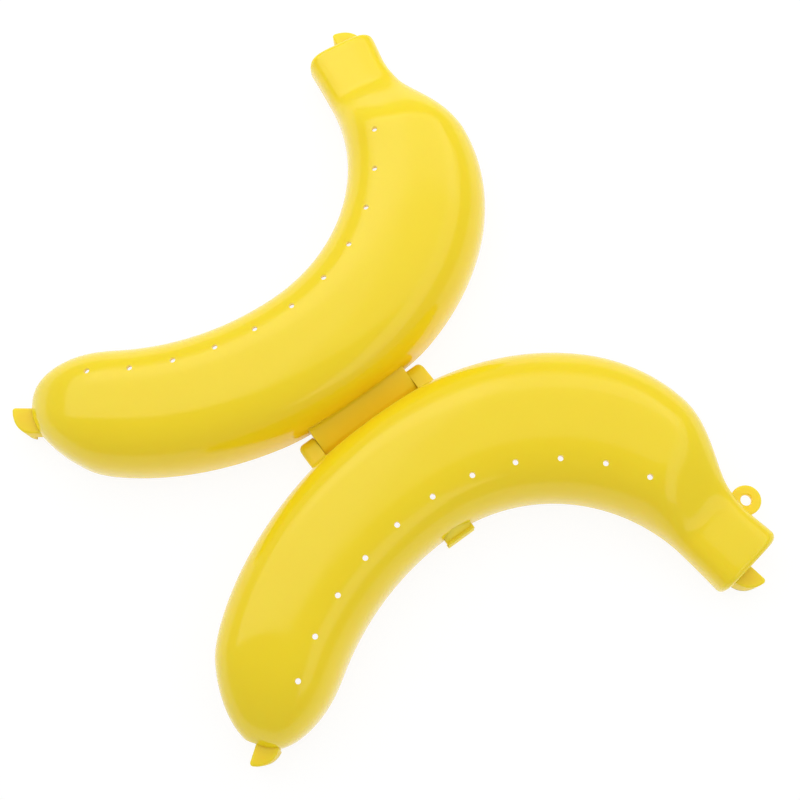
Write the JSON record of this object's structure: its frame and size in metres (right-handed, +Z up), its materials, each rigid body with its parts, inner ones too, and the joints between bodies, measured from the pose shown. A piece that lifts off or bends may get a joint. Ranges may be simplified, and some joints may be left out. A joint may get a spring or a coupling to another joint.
{
  "type": "banana carrying case",
  "caption": "Hinged hard case shaped like a banana, with curved half shells, vent holes, a barrel hinge, a snap latch, interlocking end tabs and a hanging ring.",
  "frame": {"origin": "under the middle of the open case, on the table it lies on", "axes": "+X along the hinge toward the stem, +Y from the base half to the lid half, +Z up from the table"},
  "size_m": [0.195, 0.255, 0.0288],
  "materials": {
    "yellow_polypropylene": "glossy, slightly translucent moulded plastic"
  },
  "bodies": {
    "base": {"base_shell": "yellow_polypropylene", "base_hinge_ear_stem": "yellow_polypropylene", "base_hinge_ear_tip": "yellow_polypropylene", "base_latch_bracket": "yellow_polypropylene", "hang_ring": "yellow_polypropylene", "base_tip_tab": "yellow_polypropylene", "base_stem_tab": "yellow_polypropylene"},
    "lid": {"lid_shell": "yellow_polypropylene", "lid_hinge_barrel": "yellow_polypropylene", "lid_hinge_pin_stem": "yellow_polypropylene", "lid_hinge_pin_tip": "yellow_polypropylene", "lid_latch_catch": "yellow_polypropylene", "lid_tip_tab": "yellow_polypropylene", "lid_stem_tab": "yellow_polypropylene"},
    "latch": {"latch_tongue": "yellow_polypropylene"}
  },
  "joints": [
    {"name": "lid_hinge", "type": "hinge", "parent": "base", "child": "lid", "pos_m": [0.00561, 0, 0.0042], "axis": [-1, 0, 0], "range_deg": [0, 180]},
    {"name": "latch_swing", "type": "hinge", "parent": "base", "child": "latch", "pos_m": [0.00681, -0.05468, 0.00605], "axis": [1, 0, 0], "range_deg": [0, 5], "stiffness_Nm_per_rad": 0.02}
  ]
}
